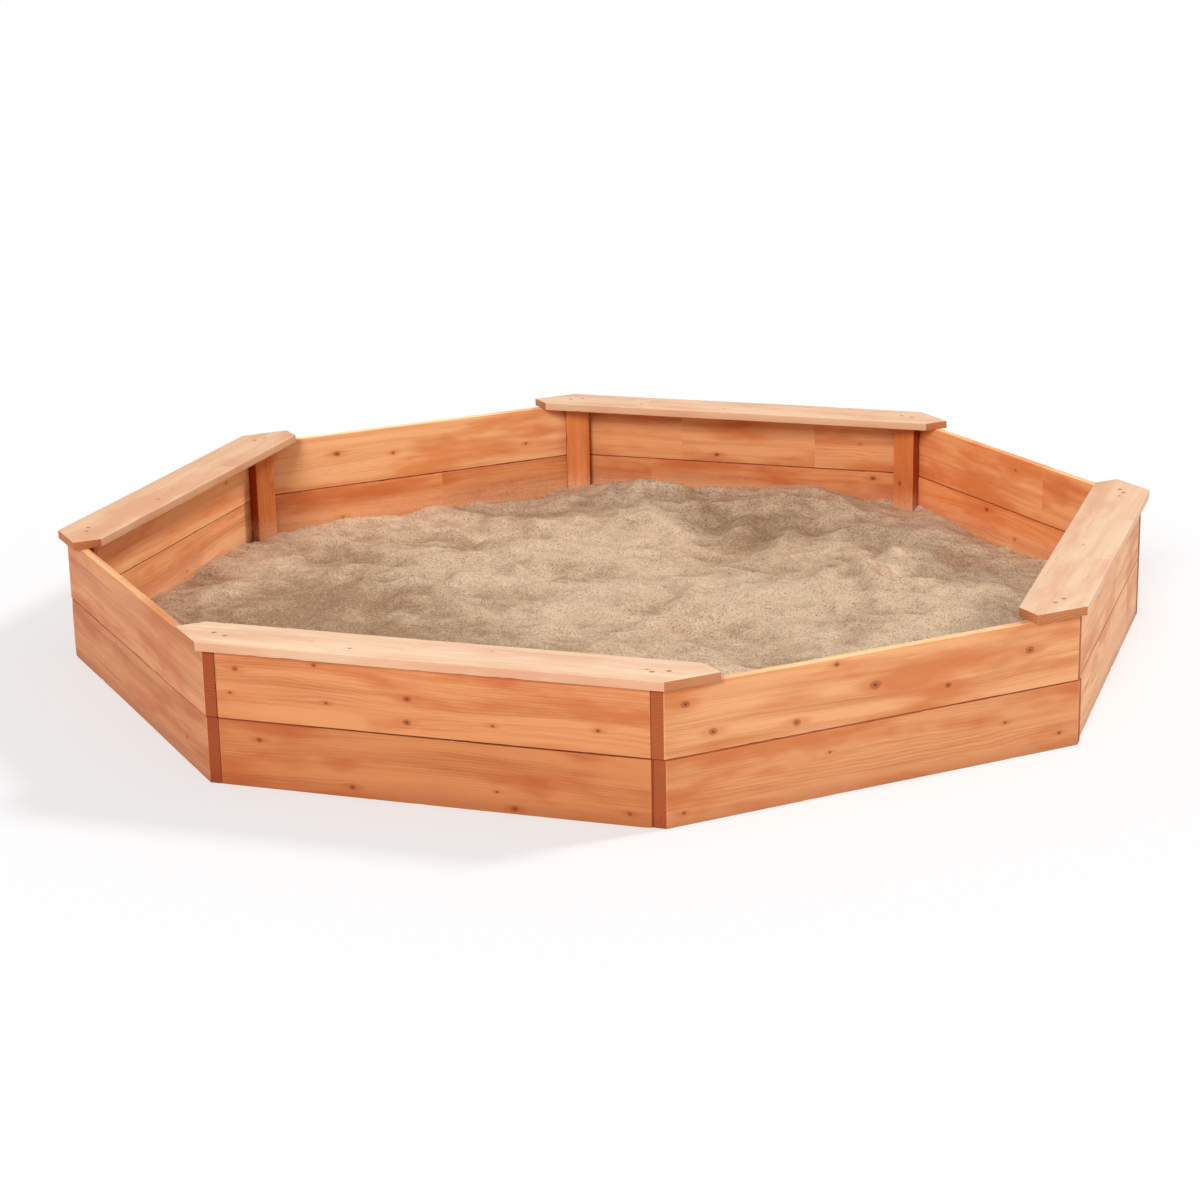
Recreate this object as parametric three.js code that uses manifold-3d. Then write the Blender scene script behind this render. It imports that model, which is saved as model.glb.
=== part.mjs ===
// An eight-sided wooden sandbox with four corner-to-corner seats, its ground liner and its sand.
// Millimetres, +Z up. The origin is on the ground under the middle of the octagon, and -Y is the front.
import * as THREE from 'three';
import { mergeVertices } from 'three/addons/utils/BufferGeometryUtils.js';
import Module from 'manifold-3d';

const wasm = await Module();
wasm.setup();

// ---------------------------------------------------------------- driving dimensions

// Walls: eight sides, each of two boards stacked edge on edge.
const WALL_APOTHEM = 920;          // middle of the box to the outer face of every wall
const BOARD_THICKNESS = 15;
const LOWER_BOARD_HEIGHT = 111;
const UPPER_BOARD_HEIGHT = 113;
const BOARD_SEAM = 0.7;            // open seam between the stacked boards
const BOARD_EASE = 1.2;            // eased long edges of the boards

// Seats: one board on every second wall, each end cut to a square point.
const SEAT_WIDTH = 106;
const SEAT_THICKNESS = 15;
const SEAT_OVERHANG = 13;          // how far the seat stands out past the wall's outer face
const SEAT_END_CUT = 98;           // length of the end cut that runs along the next wall
const SEAT_EASE = 1.5;

// Posts: one in each corner, its flat face towards the middle of the box.
const POST_FACE_WIDTH = 50;
const POST_PROUD = 24;             // how far a post's sides stand in from the walls' inner faces

// Seat screws: countersunk, two through each end of a seat into the post under it.
const SCREW_SHANK_DIAMETER = 4;
const SCREW_HEAD_DIAMETER = 8.4;
const SCREW_LENGTH = 50;
const SCREW_TIP_LENGTH = 6;
const SCREW_HEAD_DEPTH = 3.6;      // height of the head's cone
const SCREW_SINK = 0.8;            // how far the head lies below the seat's top
const SCREW_SPACING = 26;          // between the two screws in one post
const SCREW_SEAT_CLEARANCE = 0.5;  // radial play of the shank in the seat
const SCREW_FACETS = 12;

// Ground liner and sand.
const LINER_THICKNESS = 1.2;
const SAND_LEVEL = 30;             // depth of the sand between its heaps
const SAND_GRID_STEP = 65;

// Every face that meets another piece keeps this gap.
const JOINT_GAP = 0.3;

// ---------------------------------------------------------------- sizes that follow from them

const SIDES = 8;
const TURN = 2 * Math.PI / SIDES;  // angle from one wall to the next
const INNER_APOTHEM = WALL_APOTHEM - BOARD_THICKNESS;
const UPPER_BOARD_BASE = LOWER_BOARD_HEIGHT + BOARD_SEAM;
const WALL_HEIGHT = UPPER_BOARD_BASE + UPPER_BOARD_HEIGHT;
const SEAT_BASE = WALL_HEIGHT + JOINT_GAP;
const SEAT_TOP = SEAT_BASE + SEAT_THICKNESS;
const SAND_BASE = LINER_THICKNESS + JOINT_GAP;

const WALLS = ['front', 'front_right', 'right', 'back_right', 'back', 'back_left', 'left', 'front_left'];

const COLOURS = {
  board: 0xd9905f,
  seat: 0xeebf95,
  post: 0xc8703c,
  screw: 0xb9bbbd,
  liner: 0x2f3133,
  sand: 0xc6a27e,
};

// ---------------------------------------------------------------- small helpers

const material = (name, roughness, metalness = 0) =>
  new THREE.MeshStandardMaterial({ name, color: COLOURS[name], roughness, metalness });

const MATERIALS = {
  board: material('board', 0.6),
  seat: material('seat', 0.55),
  post: material('post', 0.6),
  screw: material('screw', 0.35, 0.9),
  liner: material('liner', 0.9),
  sand: material('sand', 0.95),
};

// A wall's outward direction. The front wall faces -Y, and the walls follow anticlockwise.
const wallAngle = (index) => -Math.PI / 2 + index * TURN;

// A point in a wall's own plan axes: along it, and outwards from the middle of the box.
function wallPoint(index, along, outward) {
  const point = new THREE.Vector2(outward, along);
  return point.rotateAround(new THREE.Vector2(), wallAngle(index));
}

// A point in a corner's own plan axes. Corner i lies between wall i and wall i + 1.
function cornerPoint(index, across, outward) {
  const point = new THREE.Vector2(outward, across);
  return point.rotateAround(new THREE.Vector2(), wallAngle(index + 0.5));
}

// How far along a wall, at a distance from the middle, the next wall's plane crosses it.
const crossing = (outward, neighbourPlane) =>
  (neighbourPlane - outward * Math.cos(TURN)) / Math.sin(TURN);

function toSolid(geometry) {
  const bare = geometry.clone();
  bare.deleteAttribute('normal');
  bare.deleteAttribute('uv');
  const merged = mergeVertices(bare, 1e-4);
  const vertProperties = new Float32Array(merged.attributes.position.array);
  const triVerts = new Uint32Array(merged.index.array);
  return new wasm.Manifold(new wasm.Mesh({ numProp: 3, vertProperties, triVerts }));
}

function toGeometry(solid) {
  const { vertProperties, triVerts } = solid.getMesh();
  const geometry = new THREE.BufferGeometry();
  geometry.setAttribute('position', new THREE.BufferAttribute(vertProperties, 3));
  geometry.setIndex(new THREE.BufferAttribute(triVerts, 1));
  geometry.computeVertexNormals();
  return geometry;
}

// A plan outline raised from one height to another, with its top and bottom edges eased.
function plank(outline, base, top, ease = 0) {
  const geometry = new THREE.ExtrudeGeometry(new THREE.Shape(outline), {
    depth: top - base - 2 * ease,
    bevelEnabled: ease > 0,
    bevelThickness: ease,
    bevelSize: ease,
    bevelOffset: -ease,
    bevelSegments: 1,
  });
  return geometry.translate(0, 0, base + ease);
}

const part = new THREE.Group();

function addPiece(name, geometry, pieceMaterial) {
  const mesh = new THREE.Mesh(geometry, pieceMaterial);
  mesh.name = name;
  part.add(mesh);
}

const isSeatWall = (index) => index % 2 === 0;

// ---------------------------------------------------------------- wall boards

// A seat wall's boards fit between their neighbours, with their ends cut to lie on the neighbours'
// inner faces. The other boards run past them, so that their end grain lies flush in the seat
// wall's outer face.
function boardOutline(index) {
  const endPlane = isSeatWall(index) ? INNER_APOTHEM - JOINT_GAP : WALL_APOTHEM;
  const outer = crossing(WALL_APOTHEM, endPlane);
  const inner = crossing(INNER_APOTHEM, endPlane);
  return [
    wallPoint(index, -outer, WALL_APOTHEM),
    wallPoint(index, -inner, INNER_APOTHEM),
    wallPoint(index, inner, INNER_APOTHEM),
    wallPoint(index, outer, WALL_APOTHEM),
  ].reverse();
}

WALLS.forEach((wall, index) => {
  const outline = boardOutline(index);
  const lower = plank(outline, 0, LOWER_BOARD_HEIGHT, BOARD_EASE);
  const upper = plank(outline, UPPER_BOARD_BASE, WALL_HEIGHT, BOARD_EASE);
  addPiece(`${wall}_lower_board`, lower, MATERIALS.board);
  addPiece(`${wall}_upper_board`, upper, MATERIALS.board);
});

// ---------------------------------------------------------------- seat screws

// The places of one corner's screws, side by side on the middle line of the post.
const POST_SIDE_REACH = (INNER_APOTHEM - POST_FACE_WIDTH / 2 * Math.sin(TURN / 2)) / Math.cos(TURN / 2);
const POST_FACE_REACH = POST_SIDE_REACH - POST_PROUD;
const SCREW_REACH = (POST_FACE_REACH + POST_SIDE_REACH) / 2;

const screwPlaces = (corner) =>
  [-SCREW_SPACING / 2, SCREW_SPACING / 2].map((across) => cornerPoint(corner, across, SCREW_REACH));

// A turned shape given by radius and height pairs from its lowest point, standing at a plan place.
function turned(profile, place) {
  const points = profile.map(([radius, height]) => new THREE.Vector2(radius, height));
  const geometry = new THREE.LatheGeometry(points, SCREW_FACETS);
  return geometry.rotateX(Math.PI / 2).translate(place.x, place.y, 0);
}

const HEAD_TOP = SEAT_TOP - SCREW_SINK;
const HEAD_BASE = HEAD_TOP - SCREW_HEAD_DEPTH;
const SCREW_POINT = HEAD_TOP - SCREW_LENGTH;

function screwGeometry(place) {
  const shank = SCREW_SHANK_DIAMETER / 2;
  return turned([
    [0, SCREW_POINT],
    [shank, SCREW_POINT + SCREW_TIP_LENGTH],
    [shank, HEAD_BASE],
    [SCREW_HEAD_DIAMETER / 2, HEAD_TOP],
    [0, HEAD_TOP],
  ], place);
}

// The countersunk hole through the seat, with clearance all round the screw.
function seatHole(place) {
  const shank = SCREW_SHANK_DIAMETER / 2 + SCREW_SEAT_CLEARANCE;
  const head = SCREW_HEAD_DIAMETER / 2 + SCREW_SEAT_CLEARANCE;
  return toSolid(turned([
    [0, SEAT_BASE - 1],
    [shank, SEAT_BASE - 1],
    [shank, HEAD_BASE],
    [head, HEAD_TOP],
    [head, SEAT_TOP + 1],
    [0, SEAT_TOP + 1],
  ], place));
}

// The pilot hole down into the post.
function pilotHole(place) {
  const radius = SCREW_SHANK_DIAMETER / 2 + JOINT_GAP;
  return toSolid(turned([
    [0, SCREW_POINT - JOINT_GAP],
    [radius, SCREW_POINT - JOINT_GAP],
    [radius, WALL_HEIGHT + 1],
    [0, WALL_HEIGHT + 1],
  ], place));
}

// ---------------------------------------------------------------- corner posts

// Five-sided: a flat inner face, two sides, and two faces that lie on the walls.
function postOutline(corner, gap) {
  const half = POST_FACE_WIDTH / 2 - gap;
  const plane = INNER_APOTHEM - JOINT_GAP - gap;
  const side = (plane - half * Math.sin(TURN / 2)) / Math.cos(TURN / 2);
  return [
    cornerPoint(corner, -half, POST_FACE_REACH + gap),
    cornerPoint(corner, -half, side),
    cornerPoint(corner, 0, plane / Math.cos(TURN / 2)),
    cornerPoint(corner, half, side),
    cornerPoint(corner, half, POST_FACE_REACH + gap),
  ];
}

WALLS.forEach((wall, corner) => {
  const next = WALLS[(corner + 1) % SIDES];
  let post = toSolid(plank(postOutline(corner, 0), 0, WALL_HEIGHT));
  for (const place of screwPlaces(corner)) {
    post = post.subtract(pilotHole(place));
  }
  addPiece(`corner_post_${wall}_to_${next}`, toGeometry(post), MATERIALS.post);
});

// ---------------------------------------------------------------- seats

// Six-sided: each end has a cut along the next wall and a second cut square to the first.
function seatOutline(index) {
  const outerEdge = WALL_APOTHEM + SEAT_OVERHANG;
  const innerEdge = outerEdge - SEAT_WIDTH;
  const outerHalf = outerEdge * Math.tan(TURN / 2);
  const cutReach = SEAT_END_CUT * Math.cos(TURN);
  const cutDepth = SEAT_END_CUT * Math.sin(TURN);
  const tipHalf = outerHalf + cutReach;
  const innerHalf = tipHalf - (SEAT_WIDTH - cutDepth) * Math.tan(TURN);
  return [
    wallPoint(index, -innerHalf, innerEdge),
    wallPoint(index, -tipHalf, outerEdge - cutDepth),
    wallPoint(index, -outerHalf, outerEdge),
    wallPoint(index, outerHalf, outerEdge),
    wallPoint(index, tipHalf, outerEdge - cutDepth),
    wallPoint(index, innerHalf, innerEdge),
  ];
}

WALLS.forEach((wall, index) => {
  if (!isSeatWall(index)) {
    return;
  }
  const endCorners = [(index + SIDES - 1) % SIDES, index];
  const places = endCorners.flatMap(screwPlaces);
  let seat = toSolid(plank(seatOutline(index), SEAT_BASE, SEAT_TOP, SEAT_EASE));
  for (const place of places) {
    seat = seat.subtract(seatHole(place));
  }
  addPiece(`${wall}_seat`, toGeometry(seat), MATERIALS.seat);
  places.forEach((place, count) => {
    addPiece(`${wall}_seat_screw_${count + 1}`, screwGeometry(place), MATERIALS.screw);
  });
});

// ---------------------------------------------------------------- ground liner and sand

// The floor of the box inside the walls, cut out round the posts.
function floorOutline(gap) {
  const plane = INNER_APOTHEM - gap;
  const outline = [];
  for (let corner = 0; corner < SIDES; corner += 1) {
    const [firstFace, firstSide, , secondSide, secondFace] = postOutline(corner, -gap);
    const onWall = (point) => {
      // Slide the post's side corner along its side until it lies on the floor's edge.
      const local = point.clone().rotateAround(new THREE.Vector2(), -wallAngle(corner + 0.5));
      const reach = (plane - Math.abs(local.y) * Math.sin(TURN / 2)) / Math.cos(TURN / 2);
      return cornerPoint(corner, local.y, reach);
    };
    outline.push(onWall(firstSide), firstFace, secondFace, onWall(secondSide));
  }
  return outline;
}

addPiece('ground_liner', plank(floorOutline(JOINT_GAP), 0, LINER_THICKNESS), MATERIALS.liner);

// Heaps and hollows in the sand: place, rise, and how far each spreads along X and Y.
// Those along the back are placed from the back wall's inner face.
const HEAPS = [
  { x: -185, y: INNER_APOTHEM - 90, rise: 44, spreadX: 105, spreadY: 120 },
  { x: 145, y: INNER_APOTHEM - 80, rise: 36, spreadX: 120, spreadY: 115 },
  { x: 480, y: 700, rise: 12, spreadX: 120, spreadY: 110 },
  { x: 460, y: 330, rise: 22, spreadX: 170, spreadY: 180 },
  { x: -450, y: 10, rise: 24, spreadX: 170, spreadY: 95 },
  { x: -300, y: 340, rise: 14, spreadX: 150, spreadY: 110 },
  { x: -60, y: 500, rise: -12, spreadX: 240, spreadY: 100 },
  { x: 60, y: 130, rise: 14, spreadX: 190, spreadY: 80 },
  { x: 40, y: -90, rise: -12, spreadX: 230, spreadY: 90 },
  { x: -150, y: -480, rise: 14, spreadX: 300, spreadY: 160 },
  { x: 560, y: -250, rise: -8, spreadX: 180, spreadY: 160 },
];

function sandHeight(x, y) {
  let height = SAND_LEVEL;
  for (const heap of HEAPS) {
    const across = (x - heap.x) / heap.spreadX;
    const along = (y - heap.y) / heap.spreadY;
    height += heap.rise * Math.exp(-(across * across + along * along) / 2);
  }
  return height;
}

function sandGeometry() {
  const size = 2 * WALL_APOTHEM;
  const steps = Math.round(size / SAND_GRID_STEP);
  const block = new THREE.BoxGeometry(size, size, 2, steps, steps, 1);
  const position = block.attributes.position;
  for (let i = 0; i < position.count; i += 1) {
    const isTop = position.getZ(i) > 0;
    const height = isTop ? sandHeight(position.getX(i), position.getY(i)) : -SAND_LEVEL;
    position.setZ(i, height);
  }
  const tallest = SAND_LEVEL + WALL_HEIGHT;
  const floor = toSolid(plank(floorOutline(JOINT_GAP), SAND_BASE, tallest));
  return toGeometry(toSolid(block).intersect(floor));
}

addPiece('sand_fill', sandGeometry(), MATERIALS.sand);

export default part;
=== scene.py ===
"""An eight-sided wooden sandbox: stained pine boards, four seats, corner posts, a liner and sand."""
import math
import random

import bmesh
import bpy
import numpy as np
from mathutils import Matrix, Vector, noise
from mathutils.geometry import delaunay_2d_cdt


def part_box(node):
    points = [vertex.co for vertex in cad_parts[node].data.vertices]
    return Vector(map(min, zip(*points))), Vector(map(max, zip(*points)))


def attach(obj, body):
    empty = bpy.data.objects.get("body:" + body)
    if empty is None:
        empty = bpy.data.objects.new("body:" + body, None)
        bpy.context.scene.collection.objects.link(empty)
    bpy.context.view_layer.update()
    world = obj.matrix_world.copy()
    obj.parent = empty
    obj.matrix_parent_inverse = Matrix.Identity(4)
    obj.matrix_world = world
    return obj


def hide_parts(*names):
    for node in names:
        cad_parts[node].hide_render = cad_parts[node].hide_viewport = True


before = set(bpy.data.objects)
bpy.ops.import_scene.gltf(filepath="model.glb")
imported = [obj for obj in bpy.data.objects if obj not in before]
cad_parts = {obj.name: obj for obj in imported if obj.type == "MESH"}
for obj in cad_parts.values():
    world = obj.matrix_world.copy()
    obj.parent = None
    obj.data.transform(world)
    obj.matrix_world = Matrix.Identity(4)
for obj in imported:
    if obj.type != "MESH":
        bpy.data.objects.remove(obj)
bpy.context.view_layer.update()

# ---------------------------------------------------------------- sizes, in metres

WALLS = ["front", "front_right", "right", "back_right", "back", "back_left", "left", "front_left"]
SIDES = len(WALLS)
TURN = math.tau / SIDES            # from one wall to the next

# What the frame says.
FRONT_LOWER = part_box("front_lower_board")
FRONT_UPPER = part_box("front_upper_board")
FRONT_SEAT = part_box("front_seat")
SAND_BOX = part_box("sand_fill")
LINER_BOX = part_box("ground_liner")

WALL_APOTHEM = -FRONT_LOWER[0][1]
INNER_APOTHEM = -FRONT_LOWER[1][1]
LOWER_TOP = FRONT_LOWER[1][2]
UPPER_BASE = FRONT_UPPER[0][2]
WALL_TOP = FRONT_UPPER[1][2]
SEAT_BASE = FRONT_SEAT[0][2]
SEAT_TOP = FRONT_SEAT[1][2]
SEAT_OUTER = -FRONT_SEAT[0][1]
SEAT_INNER = -FRONT_SEAT[1][1]
SEAT_TIP = FRONT_SEAT[1][0]        # half the seat's length
SAND_BASE = SAND_BOX[0][2]
SAND_EDGE = SAND_BOX[1][1]
LINER_TOP = LINER_BOX[1][2]
LINER_EDGE = LINER_BOX[1][1]

# What each piece adds.
JOINT_GAP = 0.0003
POST_FACE_WIDTH = 0.050
POST_PROUD = 0.024                 # how far a post's sides stand in from the walls
BOARD_ROUNDING = 0.0016
SEAT_ROUNDING = 0.0026
POST_ROUNDING = 0.0020
SCREW_SPACING = 0.026
SCREW_SINK = 0.0004
SCREW_HEAD = 0.0084
SCREW_HEAD_DEPTH = 0.0036
SCREW_SHANK = 0.004
SCREW_LENGTH = 0.05
SAND_LEVEL = 0.030
SAND_STEP = 0.0068                 # between the points of the sand's surface
SAND_CLEARANCE = 0.0006            # between the sand and a post
LINER_CLEARANCE = 0.0004           # between the liner and a post
SEAM_SHADE = 0.0011                # how far a seam's dark line of painted shade reaches onto each board
SEAT_SHADE = 0.012                 # how far below a seat the board is painted darker, as the seat's shadow

FLOOR_SIZE = 160.0
ROOM_LIGHT = 0.49


# ---------------------------------------------------------------- camera, light and floor

def add_camera():
    data = bpy.data.cameras.new("camera")
    data.lens = 80.57
    data.sensor_width = 36
    data.clip_end = 60
    camera = bpy.data.objects.new("camera", data)
    yaw, pitch, roll = math.radians(-18.58), math.radians(16.734), math.radians(-1.113)
    turn = Matrix.Rotation(-yaw, 4, "Z") @ Matrix.Rotation(math.pi / 2 - pitch, 4, "X")
    turn = turn @ Matrix.Rotation(roll, 4, "Z")
    camera.matrix_world = Matrix.Translation((1.505, -4.5513, 1.5083)) @ turn
    bpy.context.collection.objects.link(camera)
    bpy.context.scene.camera = camera


def add_sun(name, towards, strength, spread):
    """A broad soft light that shines from a direction, the same over the whole floor."""
    data = bpy.data.lights.new(name, "SUN")
    data.energy = strength
    data.angle = math.radians(spread)
    light = bpy.data.objects.new(name, data)
    light.rotation_euler = (-Vector(towards)).to_track_quat("-Z", "Y").to_euler()
    bpy.context.collection.objects.link(light)


def add_studio():
    """White all round: the room lights softly, and looks white where it shows."""
    world = bpy.data.worlds.new("studio")
    world.use_nodes = True
    tree = world.node_tree
    seen = node(tree, "ShaderNodeLightPath").outputs["Is Camera Ray"]
    strength = calc(tree, "MULTIPLY_ADD", seen, 1.0 - ROOM_LIGHT, ROOM_LIGHT)
    background = tree.nodes["Background"]
    background.inputs["Color"].default_value = (1.0, 1.0, 1.0, 1.0)
    tree.links.new(strength, background.inputs["Strength"])
    bpy.context.scene.world = world
    bpy.context.scene.view_settings.view_transform = "Standard"
    add_sun("back_sun", (1.1, 1.0, 1.15), 1.8, 10)
    add_sun("front_sun", (0.05, -2.6, 1.45), 1.8, 18)

    bpy.ops.mesh.primitive_plane_add(size=FLOOR_SIZE)
    floor = bpy.context.object
    floor.name = "floor"
    paint, _, surface = new_material("floor_paint")
    surface["Base Color"].default_value = (0.45, 0.45, 0.45, 1)
    surface["Emission Color"].default_value = (1.0, 1.0, 1.0, 1)
    surface["Emission Strength"].default_value = 0.49
    surface["Roughness"].default_value = 0.9
    surface["Specular IOR Level"].default_value = 0.0
    floor.data.materials.append(paint)
    return floor


# ---------------------------------------------------------------- node helpers

def node(tree, kind, inputs=None, **settings):
    """A new node with its settings, and its inputs given as values or as other nodes' outputs."""
    made = tree.nodes.new(kind)
    for key, value in settings.items():
        setattr(made, key, value)
    for key, value in (inputs or {}).items():
        if isinstance(value, bpy.types.NodeSocket):
            tree.links.new(value, made.inputs[key])
        else:
            made.inputs[key].default_value = value
    return made


def calc(tree, operation, *values, clamp=False):
    inputs = dict(enumerate(values))
    return node(tree, "ShaderNodeMath", inputs, operation=operation, use_clamp=clamp).outputs[0]


def split(tree, vector):
    return node(tree, "ShaderNodeSeparateXYZ", {"Vector": vector}).outputs


def joined(tree, x, y, z):
    return node(tree, "ShaderNodeCombineXYZ", {"X": x, "Y": y, "Z": z}).outputs[0]


def fade(tree, value, start, end, low=0.0, high=1.0):
    """A smooth step of value from low at start to high at end."""
    inputs = {"Value": value, "From Min": start, "From Max": end, "To Min": low, "To Max": high}
    return node(tree, "ShaderNodeMapRange", inputs, interpolation_type="SMOOTHSTEP").outputs[0]


def speckle(tree, vector, scale, detail=2.0, roughness=0.5):
    inputs = {"Vector": vector, "Scale": scale, "Detail": detail, "Roughness": roughness}
    return node(tree, "ShaderNodeTexNoise", inputs).outputs["Fac"]


def blend(tree, amount, first, second, mode="MIX"):
    inputs = {0: amount, 6: first, 7: second}
    return node(tree, "ShaderNodeMix", inputs, data_type="RGBA", blend_type=mode).outputs[2]


def stretched(tree, parts, factors, shift=0.0):
    """The place (x, y, z) with each part scaled by its own factor, and moved by shift."""
    scaled = [calc(tree, "MULTIPLY_ADD", part, factor, shift) for part, factor in zip(parts, factors)]
    return joined(tree, *scaled)


def new_group(name, sockets_in, sockets_out):
    tree = bpy.data.node_groups.new(name, "ShaderNodeTree")
    for label, kind, value in sockets_in:
        socket = tree.interface.new_socket(label, in_out="INPUT", socket_type=kind)
        if value is not None:
            socket.default_value = value
    for label, kind in sockets_out:
        tree.interface.new_socket(label, in_out="OUTPUT", socket_type=kind)
    entry = tree.nodes.new("NodeGroupInput")
    leaving = tree.nodes.new("NodeGroupOutput")
    return tree, entry.outputs, leaving.inputs


def new_material(name):
    """A material with only its Principled surface, and that surface's inputs."""
    made = bpy.data.materials.new(name)
    made.use_nodes = True
    return made, made.node_tree, made.node_tree.nodes["Principled BSDF"].inputs


# ---------------------------------------------------------------- solid pine, as a shader group

def pine_group():
    """Solid pine under a thin stain, worked out from a place inside the board.

    Place is along the grain, across the board and through it. Knot is the nearest knot's place
    along and across, and its radius. Tone is the board's lightness, redness and a number of its
    own. Faces is 1 on cut ends in X, 1 on rounded edges in Y, and in Z how dark the painted shade
    is: in seams, under the seats, on the posts' sides and on the seats' edges. Near the ground the
    wood is painted darker too, as shade where it meets the floor.
    """
    colour, number, vector = "NodeSocketColor", "NodeSocketFloat", "NodeSocketVector"
    tree, given, result = new_group("solid_pine", [
        ("Place", vector, None), ("Knot", vector, None), ("Tone", vector, None), ("Faces", vector, None),
        ("Early Wood", colour, (0.74, 0.33, 0.15, 1)), ("Late Wood", colour, (0.55, 0.19, 0.07, 1)),
        ("Stain Patch", colour, (0.62, 0.19, 0.07, 1)), ("Knot Wood", colour, (0.27, 0.060, 0.010, 1)),
        ("End Grain", colour, (0.32, 0.07, 0.03, 1)),
        ("Ring Width", number, 0.0042), ("Ring Strength", number, 0.45), ("Streak Strength", number, 0.5),
    ], [("Colour", colour), ("Roughness", number), ("Height", number)])

    x, y, z = split(tree, given["Place"])
    knot_x, knot_y, knot_size = split(tree, given["Knot"])
    light, red, own = split(tree, given["Tone"])
    at_end, at_edge, painted_shade = split(tree, given["Faces"])
    own_shift = calc(tree, "MULTIPLY", own, 31.0)

    # Distance from the nearest knot, in knot radii, longer along the grain than across it.
    off_x = calc(tree, "SUBTRACT", x, knot_x)
    off_y = calc(tree, "SUBTRACT", y, knot_y)
    size = calc(tree, "MAXIMUM", knot_size, 0.0001)
    ragged = speckle(tree, stretched(tree, (x, y, z), (60, 110, 60), own_shift), 1.0, 2.0)
    ragged = calc(tree, "MULTIPLY_ADD", ragged, 0.7, -0.35)
    near = calc(tree, "SQRT", calc(tree, "ADD",
        calc(tree, "POWER", calc(tree, "MULTIPLY", off_x, 0.72), 2.0), calc(tree, "POWER", off_y, 2.0)))
    radii = calc(tree, "ADD", calc(tree, "DIVIDE", near, size), ragged)
    flow_x = calc(tree, "MULTIPLY", off_x, 0.35)
    flow = calc(tree, "SQRT", calc(tree, "ADD",
        calc(tree, "POWER", flow_x, 2.0), calc(tree, "POWER", off_y, 2.0)))
    flow_radii = calc(tree, "DIVIDE", flow, size)
    swerve = fade(tree, flow_radii, 3.2, 0.0, 0.0, 0.8)

    # The grain wanders along the board and swerves round its knots.
    wander = speckle(tree, stretched(tree, (x, y, z), (1.7, 5.0, 5.0), own_shift), 1.0, 2.0, 0.4)
    wander = calc(tree, "MULTIPLY_ADD", wander, 0.05, -0.025)
    across = calc(tree, "SUBTRACT", calc(tree, "ADD", y, wander), calc(tree, "MULTIPLY", off_y, swerve))
    pith_y = calc(tree, "MULTIPLY_ADD", own, 0.10, -0.02)
    pith_z = calc(tree, "MULTIPLY_ADD", own, 0.05, 0.03)
    from_pith = calc(tree, "SQRT", calc(tree, "ADD",
        calc(tree, "POWER", calc(tree, "SUBTRACT", across, pith_y), 2.0),
        calc(tree, "POWER", calc(tree, "ADD", z, pith_z), 2.0)))
    uneven = speckle(tree, stretched(tree, (x, across, z), (9, 45, 45), own_shift), 1.0, 3.0, 0.55)
    rings = calc(tree, "ADD",
        calc(tree, "DIVIDE", from_pith, given["Ring Width"]), calc(tree, "MULTIPLY", uneven, 2.6))
    ring = calc(tree, "FRACT", rings)
    clear = speckle(tree, stretched(tree, (x, across, z), (3.0, 14, 14), own), 1.0)
    clear = fade(tree, clear, 0.36, 0.62, 0.15, 1.0)
    late = calc(tree, "MULTIPLY", fade(tree, ring, 0.25, 0.86), fade(tree, ring, 1.0, 0.93))
    late = calc(tree, "MULTIPLY", late, clear)

    # Streaks, fibres and patches of stain, all drawn out along the grain.
    streak = speckle(tree, stretched(tree, (x, across, z), (3.2, 120, 120), own_shift), 1.0, 5.0, 0.62)
    fibre = speckle(tree, stretched(tree, (x, across, z), (22, 1400, 1400), own_shift), 1.0, 2.0, 0.6)
    band = speckle(tree, stretched(tree, (x, across, z), (1.5, 42, 42), own_shift), 1.0, 3.0, 0.5)
    patch = speckle(tree, stretched(tree, (x, across, z), (4.5, 17, 17), own_shift), 1.0, 3.0, 0.55)

    darkness = calc(tree, "MULTIPLY", late, given["Ring Strength"])
    drawn = calc(tree, "MULTIPLY", calc(tree, "SUBTRACT", streak, 0.47), given["Streak Strength"])
    broad = calc(tree, "MULTIPLY", calc(tree, "SUBTRACT", band, 0.48), given["Streak Strength"])
    darkness = calc(tree, "ADD", darkness, calc(tree, "MULTIPLY", drawn, 2.0))
    darkness = calc(tree, "ADD", darkness, calc(tree, "MULTIPLY", broad, 3.0))
    darkness = calc(tree, "ADD", darkness, calc(tree, "MULTIPLY_ADD", fibre, 0.3, -0.13), clamp=True)
    wood = blend(tree, darkness, given["Early Wood"], given["Late Wood"])
    wood = blend(tree, fade(tree, patch, 0.44, 0.68, 0.0, 0.85), wood, given["Stain Patch"])

    # Knots: a red halo drawn out along the grain, a dark rim and a brown heart.
    halo = fade(tree, calc(tree, "ADD", flow_radii, ragged), 2.6, 0.7, 0.0, 0.5)
    wood = blend(tree, halo, wood, given["Stain Patch"])
    heart = fade(tree, radii, 1.25, 0.70)
    core = fade(tree, radii, 0.55, 0.25, 0.0, 0.75)
    heart_rings = calc(tree, "SINE", calc(tree, "MULTIPLY", radii, 17.0))
    heart_rings = calc(tree, "MULTIPLY_ADD", heart_rings, 0.10, 0.55)
    wood = blend(tree, calc(tree, "MULTIPLY", heart, heart_rings), wood, given["Knot Wood"])
    wood = blend(tree, core, wood, (0.10, 0.022, 0.006, 1))
    rim = calc(tree, "MULTIPLY", fade(tree, radii, 1.35, 0.95), fade(tree, radii, 0.60, 0.95))
    wood = blend(tree, calc(tree, "MULTIPLY", rim, 0.35), wood, given["Knot Wood"])

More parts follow.
